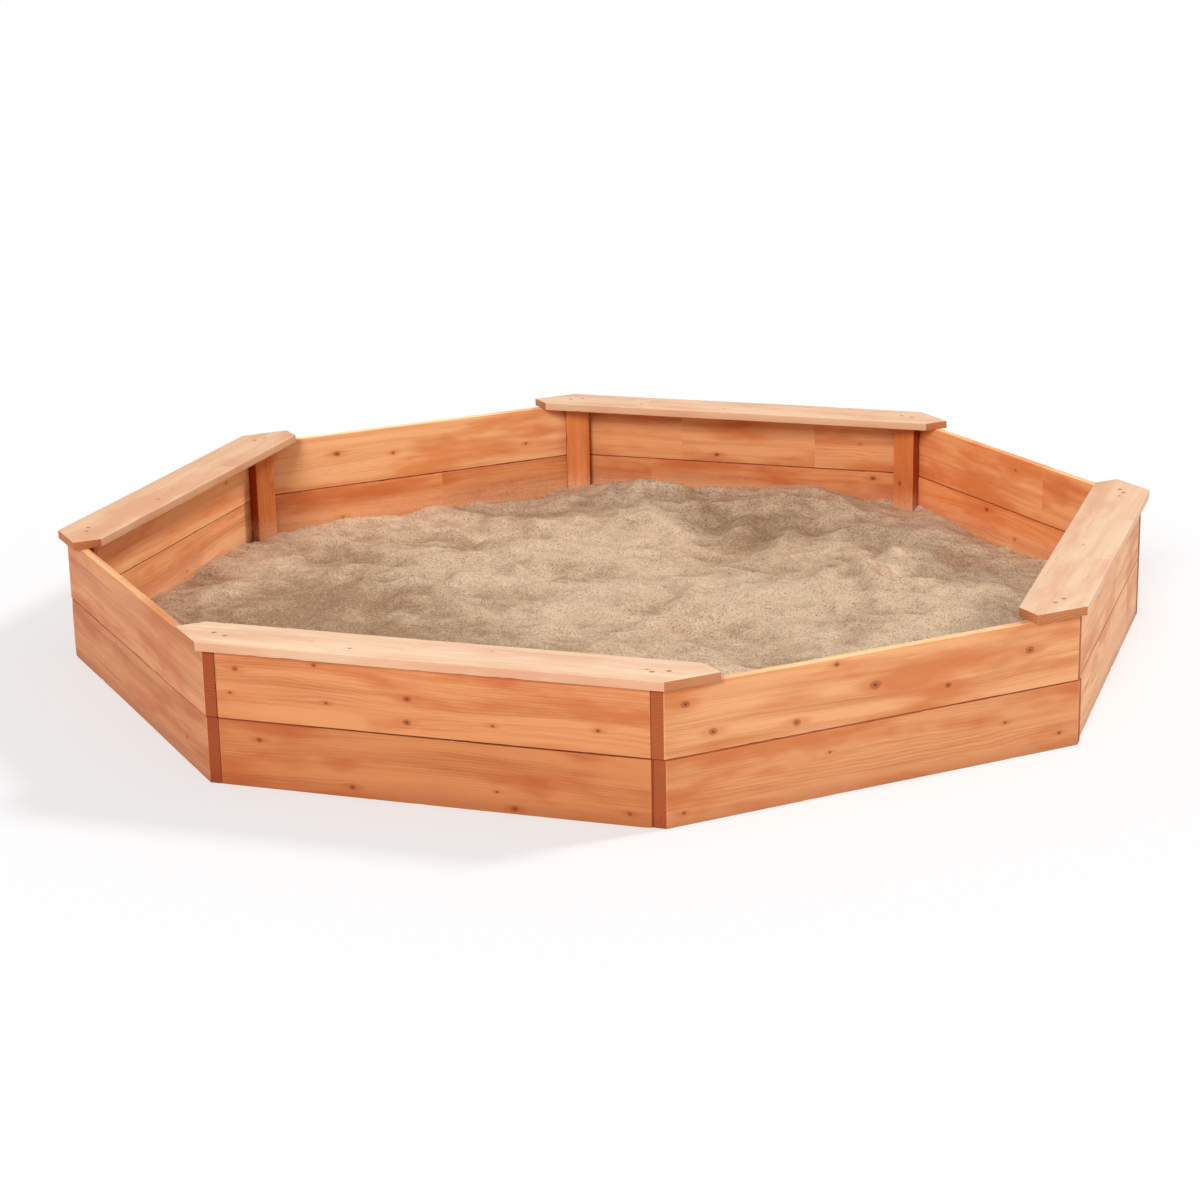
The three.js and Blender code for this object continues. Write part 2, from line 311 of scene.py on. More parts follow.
    # Rounded edges lose some stain; cut ends drink more of it.
    worn = fade(tree, speckle(tree, given["Place"], 40.0, 3.0, 0.6), 0.40, 0.62, 0.10, 0.5)
    wood = blend(tree, calc(tree, "MULTIPLY", at_edge, worn), wood, given["Early Wood"])
    pores = speckle(tree, given["Place"], 900.0, 2.0, 0.7)
    end = calc(tree, "MULTIPLY_ADD", late, 0.5, calc(tree, "MULTIPLY", pores, 0.5), clamp=True)
    end_wood = blend(tree, end, blend(tree, 0.45, given["End Grain"], given["Late Wood"]), given["End Grain"])
    wood = blend(tree, at_end, wood, end_wood)
    # Painted shade in seams, under the seats, on the posts' sides and on the seats' edges.
    wood = blend(tree, painted_shade, wood, given["End Grain"])
    # Painted shade near the ground, darker towards the bottom where the wood meets the floor.
    ground = split(tree, node(tree, "ShaderNodeTexCoord").outputs["Object"])[2]
    painted_ground_shade = fade(tree, calc(tree, "MULTIPLY_ADD", patch, 0.05, ground), 0.062, 0.020, 0.0, 0.42)
    wood = blend(tree, painted_ground_shade, wood, given["End Grain"])

    # The board's own tone.
    lit = calc(tree, "ADD", 1.0, light)
    less_green = calc(tree, "MULTIPLY", lit, calc(tree, "MULTIPLY_ADD", red, -0.16, 1.0))
    less_blue = calc(tree, "MULTIPLY", lit, calc(tree, "MULTIPLY_ADD", red, -0.28, 1.0))
    tint = node(tree, "ShaderNodeCombineColor", {"Red": lit, "Green": less_green, "Blue": less_blue})
    toned = blend(tree, 1.0, wood, tint.outputs[0], "MULTIPLY")
    toned.node.clamp_result = True
    tree.links.new(toned, result["Colour"])

    rough = calc(tree, "MULTIPLY_ADD", streak, 0.18, 0.42)
    rough = calc(tree, "MULTIPLY_ADD", at_end, 0.25, rough)
    tree.links.new(calc(tree, "MULTIPLY_ADD", heart, -0.08, rough), result["Roughness"])
    height = calc(tree, "MULTIPLY_ADD", fibre, 0.35, calc(tree, "MULTIPLY", streak, 0.55))
    height = calc(tree, "MULTIPLY_ADD", late, 0.25, height)
    height = calc(tree, "MULTIPLY_ADD", calc(tree, "MULTIPLY", at_end, pores), 0.8, height)
    tree.links.new(calc(tree, "MULTIPLY_ADD", rim, -0.8, height), result["Height"])
    return tree


def sand_dust_group():
    """How much sand clings to a surface inside the box: most just above the sand."""
    number = "NodeSocketFloat"
    tree, given, result = new_group(
        "sand_dust", [("Top", number, 0.09), ("Amount", number, 0.5)], [("Mask", number)])
    place = node(tree, "ShaderNodeTexCoord").outputs["Object"]
    x, y, z = split(tree, place)
    inside = None
    for index in range(SIDES // 2):
        angle = index * TURN
        reach = calc(tree, "ABSOLUTE", calc(tree, "ADD",
            calc(tree, "MULTIPLY", x, math.cos(angle)), calc(tree, "MULTIPLY", y, math.sin(angle))))
        inside = reach if inside is None else calc(tree, "MAXIMUM", inside, reach)
    inside = fade(tree, inside, INNER_APOTHEM + 0.002, INNER_APOTHEM + 0.0005)
    ragged = calc(tree, "MULTIPLY_ADD", speckle(tree, place, 26.0, 4.0, 0.6), 0.05, -0.025)
    low = fade(tree, calc(tree, "ADD", z, ragged), given["Top"], calc(tree, "SUBTRACT", given["Top"], 0.05))
    grains = fade(tree, speckle(tree, place, 620.0, 3.0, 0.7), 0.42, 0.62)
    dusty = calc(tree, "MULTIPLY", calc(tree, "MULTIPLY", low, inside), grains)
    tree.links.new(calc(tree, "MULTIPLY", dusty, given["Amount"]), result["Mask"])
    return tree


PINE = pine_group()
SAND_DUST = sand_dust_group()
SAND_LIGHT = (0.92, 0.67, 0.45, 1)
SAND_DARK = (0.37, 0.195, 0.09, 1)


def pine_material(name, early, late, patch, end, ring_strength, streak_strength, dust=0.0, gloss=0.2):
    """Stained pine with its own colours; dust is how much sand clings to it inside the box."""
    made, tree, surface = new_material(name)

    def stored(label):
        return node(tree, "ShaderNodeAttribute", attribute_name=label).outputs["Vector"]

    wood = node(tree, "ShaderNodeGroup", node_tree=PINE)
    for label, attribute in (("Place", "grain"), ("Knot", "knot"), ("Tone", "tone"), ("Faces", "faces")):
        tree.links.new(stored(attribute), wood.inputs[label])
    for label, value in (
        ("Early Wood", early), ("Late Wood", late), ("Stain Patch", patch), ("End Grain", end),
    ):
        wood.inputs[label].default_value = (*value, 1)
    wood.inputs["Ring Strength"].default_value = ring_strength
    wood.inputs["Streak Strength"].default_value = streak_strength
    colour = wood.outputs["Colour"]
    if dust:
        mask = node(tree, "ShaderNodeGroup", {}, node_tree=SAND_DUST)
        mask.inputs["Amount"].default_value = dust
        colour = blend(tree, mask.outputs["Mask"], colour, SAND_LIGHT)
    tree.links.new(colour, surface["Base Color"])
    tree.links.new(wood.outputs["Roughness"], surface["Roughness"])
    surface["Specular IOR Level"].default_value = gloss
    height = wood.outputs["Height"]
    bump = node(tree, "ShaderNodeBump", {"Strength": 0.55, "Distance": 0.0006, "Height": height})
    tree.links.new(bump.outputs["Normal"], surface["Normal"])
    return made


def sand_material():
    """Dry builder's sand: grains of several browns, with painted shade stored on the surface, darkest in its
    hollows and patches.
    """
    made, tree, surface = new_material("dry_sand")
    place = node(tree, "ShaderNodeTexCoord").outputs["Object"]
    grain = node(tree, "ShaderNodeTexVoronoi", {"Vector": place, "Scale": 520.0, "Randomness": 1.0})
    hue, _, value = split(tree, grain.outputs["Color"])
    coarse = speckle(tree, place, 170.0, 4.0, 0.75)
    lumps = speckle(tree, place, 34.0, 4.0, 0.62)
    blotches = speckle(tree, stretched(tree, split(tree, place), (7, 13, 10)), 1.0, 4.0, 0.6)
    hollow, _, _ = split(tree, node(tree, "ShaderNodeAttribute", attribute_name="painted_sand_shade").outputs["Vector"])
    amount = calc(tree, "MULTIPLY_ADD", hue, 0.34, calc(tree, "MULTIPLY_ADD", coarse, 1.5, -0.86))
    amount = calc(tree, "ADD", amount, calc(tree, "MULTIPLY_ADD", lumps, 0.7, -0.35), clamp=True)
    colour = blend(tree, amount, SAND_LIGHT, SAND_DARK)
    # Painted shade, stored darkest in the hollows and patches, broken up by blotches and lumps of colour.
    blotches = calc(tree, "MULTIPLY_ADD", blotches, 0.9, -0.45)
    painted_sand_shade = calc(tree, "ADD", calc(tree, "MULTIPLY", hollow, 0.75), blotches)
    painted_sand_shade = calc(tree, "ADD", painted_sand_shade, calc(tree, "MULTIPLY_ADD", lumps, 0.6, -0.30))
    painted_sand_shade = calc(tree, "ADD", painted_sand_shade, calc(tree, "MULTIPLY_ADD", coarse, 0.5, -0.25))
    colour = blend(tree, fade(tree, painted_sand_shade, -0.10, 0.95, 0.0, 0.80), colour, SAND_DARK)
    dark_grain = fade(tree, value, 0.88, 0.94, 0.0, 0.60)
    colour = blend(tree, dark_grain, colour, (0.12, 0.065, 0.04, 1))
    pale_grain = fade(tree, value, 0.12, 0.05, 0.0, 0.5)
    colour = blend(tree, pale_grain, colour, (0.90, 0.76, 0.58, 1))
    tree.links.new(colour, surface["Base Color"])
    surface["Roughness"].default_value = 0.92
    surface["Specular IOR Level"].default_value = 0.25
    height = calc(tree, "MULTIPLY_ADD", grain.outputs["Distance"], -0.6, calc(tree, "MULTIPLY", coarse, 1.8))
    height = calc(tree, "MULTIPLY_ADD", lumps, 3.0, height)
    bump = node(tree, "ShaderNodeBump", {"Strength": 1.0, "Distance": 0.0030, "Height": height})
    tree.links.new(bump.outputs["Normal"], surface["Normal"])
    return made


def screw_material():
    """Yellow zinc plating with a few duller spots."""
    made, tree, surface = new_material("yellow_zinc_plate")
    place = node(tree, "ShaderNodeTexCoord").outputs["Object"]
    dull = speckle(tree, place, 700.0, 3.0, 0.6)
    colour = blend(tree, fade(tree, dull, 0.45, 0.7), (0.86, 0.68, 0.46, 1), (0.60, 0.44, 0.27, 1))
    tree.links.new(colour, surface["Base Color"])
    tree.links.new(fade(tree, dull, 0.35, 0.75, 0.28, 0.6), surface["Roughness"])
    surface["Metallic"].default_value = 1.0
    bump = node(tree, "ShaderNodeBump", {"Strength": 0.3, "Distance": 0.0001, "Height": dull})
    tree.links.new(bump.outputs["Normal"], surface["Normal"])
    return made


def liner_material():
    """Black woven ground fabric: flat tapes over and under each other, with dust on them."""
    made, tree, surface = new_material("woven_liner")
    place = node(tree, "ShaderNodeTexCoord").outputs["Object"]
    x, y, _ = split(tree, place)
    tapes = 420.0                      # tapes in a metre
    warp = calc(tree, "ABSOLUTE", calc(tree, "SINE", calc(tree, "MULTIPLY", x, math.pi * tapes)))
    weft = calc(tree, "ABSOLUTE", calc(tree, "SINE", calc(tree, "MULTIPLY", y, math.pi * tapes)))
    checker = node(tree, "ShaderNodeTexChecker", {"Vector": place, "Scale": tapes}).outputs["Fac"]
    over = calc(tree, "ADD", calc(tree, "MULTIPLY", warp, checker),
                calc(tree, "MULTIPLY", weft, calc(tree, "SUBTRACT", 1.0, checker)))
    dust = speckle(tree, place, 9.0, 5.0, 0.65)
    cloth = blend(tree, over, (0.012, 0.012, 0.013, 1), (0.055, 0.056, 0.058, 1))
    cloth = blend(tree, fade(tree, dust, 0.48, 0.75, 0.0, 0.35), cloth, SAND_DARK)
    tree.links.new(cloth, surface["Base Color"])
    tree.links.new(fade(tree, over, 0.0, 1.0, 0.75, 0.5), surface["Roughness"])
    bump = node(tree, "ShaderNodeBump", {"Strength": 0.7, "Distance": 0.0005, "Height": over})
    tree.links.new(bump.outputs["Normal"], surface["Normal"])
    return made


BOARD_WOOD = pine_material(
    "stained_pine_boards", early=(0.74, 0.335, 0.143), late=(0.50, 0.160, 0.052),
    patch=(0.56, 0.155, 0.045), end=(0.30, 0.050, 0.013),
    ring_strength=0.32, streak_strength=0.66, dust=0.5)
SEAT_WOOD = pine_material(
    "pale_pine_seats", early=(0.95, 0.67, 0.455), late=(0.82, 0.46, 0.26),
    patch=(0.84, 0.47, 0.29), end=(0.44, 0.110, 0.022),
    ring_strength=0.34, streak_strength=0.45)
POST_WOOD = pine_material(
    "stained_pine_posts", early=(0.75, 0.235, 0.070), late=(0.48, 0.12, 0.032),
    patch=(0.60, 0.155, 0.040), end=(0.33, 0.055, 0.014),
    ring_strength=0.50, streak_strength=0.55, dust=0.6)
SAND = sand_material()
ZINC = screw_material()
LINER_CLOTH = liner_material()


# ---------------------------------------------------------------- boards, seats and posts

def wall_place(index, reach):
    """Turns a wall's own axes (along it, inwards, up) into the object's, from reach outwards."""
    angle = -math.pi / 2 + index * TURN
    outward = Vector((math.cos(angle), math.sin(angle), 0))
    along = Vector((-outward.y, outward.x, 0))
    place = Matrix((along, -outward, Vector((0, 0, 1)))).transposed().to_4x4()
    place.translation = outward * reach
    return place


def crossing(reach, plane):
    """How far along a wall, at a distance from the middle, the next wall's plane crosses it."""
    return (plane - reach * math.cos(TURN)) / math.sin(TURN)


def prism(outline, base, top):
    """A closed upright prism on a plan outline that runs anticlockwise."""
    body = bmesh.new()
    low = [body.verts.new((x, y, base)) for x, y in outline]
    high = [body.verts.new((x, y, top)) for x, y in outline]
    body.faces.new(list(reversed(low)))
    body.faces.new(high)
    for here in range(len(outline)):
        ahead = (here + 1) % len(outline)
        body.faces.new((low[here], low[ahead], high[ahead], high[here]))
    bmesh.ops.recalc_face_normals(body, faces=body.faces)
    return body


def cut_across(body, axis, step):
    """Adds edge loops square to an axis, about a step apart."""
    places = [v.co[axis] for v in body.verts]
    low, high = min(places), max(places)
    count = max(2, round((high - low) / step))
    normal = Vector([float(axis == way) for way in range(3)])
    for number in range(1, count):
        point = normal * (low + (high - low) * number / count)
        parts = body.verts[:] + body.edges[:] + body.faces[:]
        bmesh.ops.bisect_plane(body, geom=parts, dist=1e-6, plane_co=point, plane_no=normal)


def round_edges(body, radius, segments=3):
    sharp = [e for e in body.edges if e.calc_face_angle(0) > 0.3]
    bmesh.ops.bevel(body, geom=sharp, offset=radius, segments=segments, profile=0.5,
                    affect="EDGES", clamp_overlap=True)


def warp(body, grain, amount, own):
    """Bends a piece a little, as sawn timber is, and nicks its edges."""
    for vert in body.verts:
        slow = Vector((vert.co[grain] * 2.1, own * 9.7, 0.4))
        bow = Vector([noise.noise(slow + Vector((0, 0, 7.0 * way))) for way in range(3)])
        bow[grain] = 0
        nick = max(0.0, noise.noise(vert.co * 55 + Vector((own * 40, 0, 0))) - 0.32)
        corner = len([e for e in vert.link_edges if e.calc_face_angle(0) > 0.2])
        vert.co += bow * amount
        if corner:
            vert.co -= vert.normal * min(nick * 0.004, 0.0009)


def store(mesh, label, values, domain="POINT"):
    layer = mesh.attributes.new(label, "FLOAT_VECTOR", domain)
    layer.data.foreach_set("vector", np.asarray(values, dtype=np.float32).ravel())


# What a board's sawn top adds to its lightness and redness: painted light, as lit from above.
PAINTED_TOP_LIGHT = (0.32, -1.7)


def mark_wood(mesh, place, axes, knots, tone, side_normals, joints, shaded, marks, outer_tone):
    """Stores what the pine shader reads: place in the grain, nearest knot, tone and kind of face.

    Shaded gives directions whose faces are painted darker, as shade, and marks gives such bands
    of height. A board with marks is also painted paler on top, as lit from above. Outer_tone is
    the tone outside, where it differs from the one inside; the inside tone then also holds
    painted light.
    """
    back = place.inverted()
    local = np.array([back @ v.co for v in mesh.vertices])
    store(mesh, "grain", local[:, list(axes)])
    light, red, own = tone
    tones = []
    turn = back.to_3x3()
    nearest, kinds = [], []
    for face in mesh.polygons:
        middle = back @ face.center
        here = Vector((middle[axes[0]], middle[axes[1]]))
        best = min(knots, key=lambda k: (Vector(k[:2]) - here).length, default=(9.0, 9.0, 0.0))
        nearest.append(best)
        length = sum(middle[axes[0]] > joint for joint in joints)
        tones.append((light + 0.02 * math.sin(length * 2.3 + own * 9), red + 0.08 * math.sin(length * 4.1),
                      (own + 0.37 * length) % 1.0))
        normal = turn @ face.normal
        # Up-facing tops are painted paler, as lit from above.
        if marks and normal.z > 0.7:
            top_light, top_red = PAINTED_TOP_LIGHT
            tones[-1] = (tones[-1][0] + top_light, tones[-1][1] + top_red, tones[-1][2])
        # Outside, a weaker tone replaces the inner one, whose painted light belongs inside.
        if outer_tone and normal.y < -0.3:
            tones[-1] = (*outer_tone, tones[-1][2])
        flat = max(normal.dot(side) for side in side_normals)
        at_end = abs(normal[axes[0]]) > 0.45
        # Painted shade: on shaded sides and in the marked height bands.
        depth = max((amount for side, amount in shaded if normal.dot(side) > 0.8), default=0.0)
        depth = max((amount for low, high, amount in marks if low < middle.z < high), default=depth)
        kinds.append((float(at_end), float(flat < 0.99), depth))
    store(mesh, "knot", nearest, "FACE")
    store(mesh, "tone", tones, "FACE")
    store(mesh, "faces", kinds, "FACE")


def outline_normals(outline):
    sides = [Vector((0, 0, 1)), Vector((0, 0, -1))]
    for here, ahead in zip(outline, outline[1:] + outline[:1]):
        sides.append(Vector((ahead[1] - here[1], here[0] - ahead[0], 0)).normalized())
    return sides


def make_object(name, mesh, material):
    mesh.materials.clear()
    mesh.materials.append(material)
    piece = bpy.data.objects.new(name, mesh)
    bpy.context.collection.objects.link(piece)
    return piece


def smooth(mesh, angle=35):
    """Smooth shading except across edges sharper than angle degrees."""
    for face in mesh.polygons:
        face.use_smooth = True
    mesh.set_sharp_from_angle(angle=math.radians(angle))


def timber(name, outline, base, top, place, axes, rounding, material, knots=(), tone=(0, 0, 0),
           holes=(), joints=(), shaded=(), marks=(), outer_tone=None):
    """One wooden piece: cut to an outline, rounded, a little warped, and marked for its grain."""
    body = prism(outline, base, top)
    cut_across(body, axes[0], 0.014)
    cut_across(body, axes[1], 0.028)
    round_edges(body, rounding)
    warp(body, axes[0], 0.0009, tone[2])
    mesh = bpy.data.meshes.new(name)
    body.to_mesh(mesh)
    body.free()
    mesh.transform(place)
    for vert in mesh.vertices:
        vert.co.z = max(vert.co.z, 0.0)
    piece = make_object(name, mesh, material)
    if holes:
        mesh = drill(piece, holes)
    mark_wood(mesh, place, axes, list(knots), tone, outline_normals(outline), joints, shaded, marks,
              outer_tone)
    smooth(mesh)
    return piece


def drill(piece, cutters):
    """Cuts closed shapes out of a piece, and leaves a plain mesh."""
    for cutter in cutters:
        cut = piece.modifiers.new("hole", "BOOLEAN")
        cut.object = cutter
        cut.operation = "DIFFERENCE"
        cut.solver = "EXACT"
    graph = bpy.context.evaluated_depsgraph_get()
    mesh = bpy.data.meshes.new_from_object(piece.evaluated_get(graph))
    piece.modifiers.clear()
    old = piece.data
    piece.data = mesh
    bpy.data.meshes.remove(old)
    mesh.name = piece.name
    for cutter in cutters:
        bpy.data.objects.remove(cutter)
    return mesh


# Listed knots: along the board, height above the ground and radius.
KNOTS = {
    "front_upper_board": [
        (-0.325, 0.197, 0.0040), (-0.189, 0.214, 0.0028), (-0.171, 0.153, 0.0025), (-0.034, 0.172, 0.0045),
        (-0.036, 0.134, 0.0045), (0.106, 0.141, 0.0026), (0.277, 0.149, 0.0028), (-0.336, 0.156, 0.0022),
    ],
    "front_lower_board": [
        (-0.290, 0.081, 0.0034), (-0.133, 0.017, 0.0038), (0.110, 0.034, 0.0018), (0.139, 0.009, 0.0042),
        (0.325, 0.020, 0.0028),
    ],
    "front_right_upper_board": [
        (-0.078, 0.214, 0.0036), (-0.008, 0.169, 0.0065), (0.128, 0.146, 0.0042), (-0.297, 0.143, 0.0050),
        (-0.344, 0.195, 0.0050), (-0.150, 0.132, 0.0050), (0.284, 0.179, 0.0055),
    ],
    "front_right_lower_board": [
        (0.236, 0.064, 0.0026), (-0.351, 0.021, 0.0028), (-0.093, 0.073, 0.0020), (0.343, 0.028, 0.0030),
    ],
    "back_left_upper_board": [(0.190, 0.182, 0.0055), (0.063, 0.168, 0.0032), (-0.25, 0.150, 0.0028)],
    "back_upper_board": [(0.055, 0.128, 0.0040), (-0.262, 0.170, 0.0022)],
}

# Lightness and redness of the boards that differ from the rest; on the inner faces of the back and left walls
# this also holds painted light.
BOARD_TONES = {
    "front_upper_board": (-0.07, 0.60),
    "front_lower_board": (-0.19, 1.25),
    "front_right_upper_board": (0.10, -0.35),
    "front_right_lower_board": (-0.01, 0.30),
    "right_upper_board": (0.09, -0.90),
    "right_lower_board": (0.09, -1.00),
    "back_right_upper_board": (0.40, 0.50),
    "back_right_lower_board": (0.34, 1.20),
    "back_upper_board": (0.09, -0.15),
    "back_lower_board": (-0.05, 0.65),
    "back_left_upper_board": (0.42, -0.80),
    "back_left_lower_board": (0.11, 0.85),
    "left_upper_board": (0.50, -0.95),
    "left_lower_board": (0.34, -0.45),
    "front_left_upper_board": (-0.05, 0.50),
    "front_left_lower_board": (-0.17, 0.95),
}

# Walls whose inner faces keep their tone, which also holds painted light lifting the shaded insides, while
# the outer ones are nearly plain.
WALLS_WITH_PAINTED_INNER_LIGHT = ("back_right", "back", "back_left", "left")

# Lightness and redness of the seats.
SEAT_TONES = {
    "front_seat": (-0.01, 0.0),
    "right_seat": (-0.05, 0.25),
    "back_seat": (-0.08, 0.40),
    "left_seat": (-0.11, 0.75),
}

# How far a board has slipped along its wall; the others slip by chance, and less.
BOARD_SLIPS = {
    "front_lower_board": 0.0008,
    "front_right_lower_board": 0.0032,
    "front_left_lower_board": 0.0008,
}


def random_knots(dice, half, low, high, count):
    """Knots well apart from each other, most of them small."""
    chosen = []
    while len(chosen) < count:
        along = dice.uniform(-half, half)
        if all(abs(along - other[0]) > 0.07 for other in chosen):
            across = dice.uniform(low + 0.012, high - 0.012)
            chosen.append((along, across, 0.0014 + 0.0032 * dice.random() ** 2))
    return chosen


# Where boards are spliced from shorter lengths, along them.
FINGER_JOINTS = {
    "back_upper_board": (-0.16, 0.13),
    "back_lower_board": (0.21,),
    "back_right_upper_board": (-0.09,),
    "right_upper_board": (0.05,),
    "right_lower_board": (-0.15, 0.22),
    "back_left_lower_board": (-0.05,),
    "right_seat": (-0.105, 0.165),
    "back_seat": (0.21,),
    "left_seat": (-0.14,),
}


def add_boards():
    for index, wall in enumerate(WALLS):
        seated = index % 2 == 0
        end_plane = INNER_APOTHEM - JOINT_GAP if seated else WALL_APOTHEM
        outer = crossing(WALL_APOTHEM, end_plane)
        inner = crossing(INNER_APOTHEM, end_plane)
        depth = WALL_APOTHEM - INNER_APOTHEM
        outline = [(-outer, 0), (outer, 0), (inner, depth), (-inner, depth)]
        # Painted shade: a dark line along the seam between the boards.
        marks = [(LOWER_TOP - SEAM_SHADE, UPPER_BASE + SEAM_SHADE, 0.85)]
        if seated:
            # Painted shadow under the seat's overhang, along the board's top.
            marks.append((WALL_TOP - SEAT_SHADE, WALL_TOP, 0.30))
        for level, base, top in (("lower", 0, LOWER_TOP), ("upper", UPPER_BASE, WALL_TOP)):
            name = f"{wall}_{level}_board"
            dice = random.Random(name)
            knots = KNOTS.get(name) or random_knots(dice, outer * 0.93, base, top, dice.randint(1, 3))
            light, red = BOARD_TONES.get(name, (0.0, 0.0))
            tone = (light + dice.uniform(-0.02, 0.02), red + dice.uniform(-0.1, 0.1), dice.random())
            # Outer faces get less of the tone, whose painted light belongs inside.
            outer_tone = (tone[0] * 0.3, tone[1] * 0.3) if wall in WALLS_WITH_PAINTED_INNER_LIGHT else None
            slip = BOARD_SLIPS.get(name, dice.uniform(-0.0006, 0.0006))
            proud = dice.uniform(-0.0006, 0.0006)
            place = wall_place(index, WALL_APOTHEM) @ Matrix.Translation((slip, proud, 0))
            piece = timber(f"{name}_pine", outline, base, top, place, (0, 2, 1), BOARD_ROUNDING,
                           BOARD_WOOD, knots, tone, joints=FINGER_JOINTS.get(name, ()), marks=marks,
                           outer_tone=outer_tone)
            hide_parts(name)
            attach(piece, "root")


def post_outline():
    """A post's outline across the corner, with inwards as the second axis, from the octagon's corner."""
    half = POST_FACE_WIDTH / 2
    plane = INNER_APOTHEM - JOINT_GAP
    tip = plane / math.cos(TURN / 2)
    side = (plane - half * math.sin(TURN / 2)) / math.cos(TURN / 2)
    full_side = (INNER_APOTHEM - half * math.sin(TURN / 2)) / math.cos(TURN / 2)
    face = full_side - POST_PROUD
    outline = [
        (0, 0), (half, tip - side), (half, tip - face), (-half, tip - face), (-half, tip - side),
    ]
    return tip, face, outline


POST_TIP, POST_FACE_REACH, POST_OUTLINE = post_outline()
POST_SIDE_REACH = POST_TIP - POST_OUTLINE[1][1]
SCREW_REACH = (POST_FACE_REACH + POST_SIDE_REACH) / 2


def corner_place(corner, reach):
    return wall_place(corner + 0.5, reach)


def add_posts():
    # The posts' sides are painted dark, as the shade beside the walls.
    painted_shade_sides = ((Vector((1, 0, 0)), 1.0), (Vector((-1, 0, 0)), 1.0))
    for corner, wall in enumerate(WALLS):
        name = f"corner_post_{wall}_to_{WALLS[(corner + 1) % SIDES]}"
        dice = random.Random(name)
        knots = []
        if dice.random() < 0.6:
            knots = [(dice.uniform(0.09, 0.2), dice.uniform(-0.012, 0.012), 0.004)]
        tone = (dice.uniform(-0.05, 0.05), dice.uniform(-0.1, 0.2), dice.random())
        place = corner_place(corner, POST_TIP)
        piece = timber(f"{name}_pine", POST_OUTLINE, 0, WALL_TOP, place, (2, 0, 1),
                       POST_ROUNDING, POST_WOOD, knots, tone, shaded=painted_shade_sides)
        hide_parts(name)
        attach(piece, "root")


def screw_place(corner, side):
    """Where a seat screw's head lies, on the post's middle line."""
    return corner_place(corner, SCREW_REACH) @ Vector((side * SCREW_SPACING / 2, 0, SEAT_TOP - SCREW_SINK))


def countersink(place):
    """The shape that a drill takes out for a countersunk screw, from below the seat to above it."""
    body = bmesh.new()
    hole = 0.0024
    head = SCREW_HEAD / 2 + 0.00015
    profile = [(hole, -0.03), (hole, -SCREW_HEAD_DEPTH), (head, 0), (head, 0.02)]
    around = 32
    rings = []
    for radius, height in profile:
        ring = []
        for number in range(around):
            angle = math.tau * number / around
            ring.append(body.verts.new((radius * math.cos(angle), radius * math.sin(angle), height)))
        rings.append(ring)
    for low, high in zip(rings, rings[1:]):
        for here in range(around):
            ahead = (here + 1) % around
            body.faces.new((low[here], low[ahead], high[ahead], high[here]))
    body.faces.new(list(reversed(rings[0])))
    body.faces.new(rings[-1])
    mesh = bpy.data.meshes.new("countersink")
    body.to_mesh(mesh)
    body.free()
    mesh.transform(Matrix.Translation(place))
    return make_object("countersink", mesh, SEAT_WOOD)


def add_seats():
    width = SEAT_OUTER - SEAT_INNER
    outer_half = SEAT_OUTER * math.tan(TURN / 2)
    cut = SEAT_TIP - outer_half         # the end cut's run, the same along the seat and across it
    inner_half = SEAT_TIP - (width - cut)
    outline = [
        (-outer_half, 0), (outer_half, 0), (SEAT_TIP, cut), (inner_half, width), (-inner_half, width),
        (-SEAT_TIP, cut),
    ]
    # The seats' edges are painted darker than their tops, as shade on the sides.
    inner_edge_shade, outer_edge_shade = (Vector((0, 1, 0)), 0.25), (Vector((0, -1, 0)), 0.36)
    for index in range(0, SIDES, 2):
        name = f"{WALLS[index]}_seat"
        dice = random.Random(name)
        found = random_knots(dice, 0.36, 0, 0.1, 4)
        knots = [(along, width * dice.uniform(0.15, 0.85), size * 0.8) for along, _, size in found]
        tone = (*SEAT_TONES[name], dice.random())
        holes = [countersink(screw_place(c, s)) for c in (index - 1, index) for s in (-1, 1)]
        place = wall_place(index, SEAT_OUTER)
        piece = timber(f"{name}_pine", outline, SEAT_BASE, SEAT_TOP, place, (0, 1, 2),
                       SEAT_ROUNDING, SEAT_WOOD, knots, tone, holes, FINGER_JOINTS.get(name, ()),
                       shaded=(inner_edge_shade, outer_edge_shade))
        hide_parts(name)
        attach(piece, "root")


# ---------------------------------------------------------------- screws, by geometry nodes

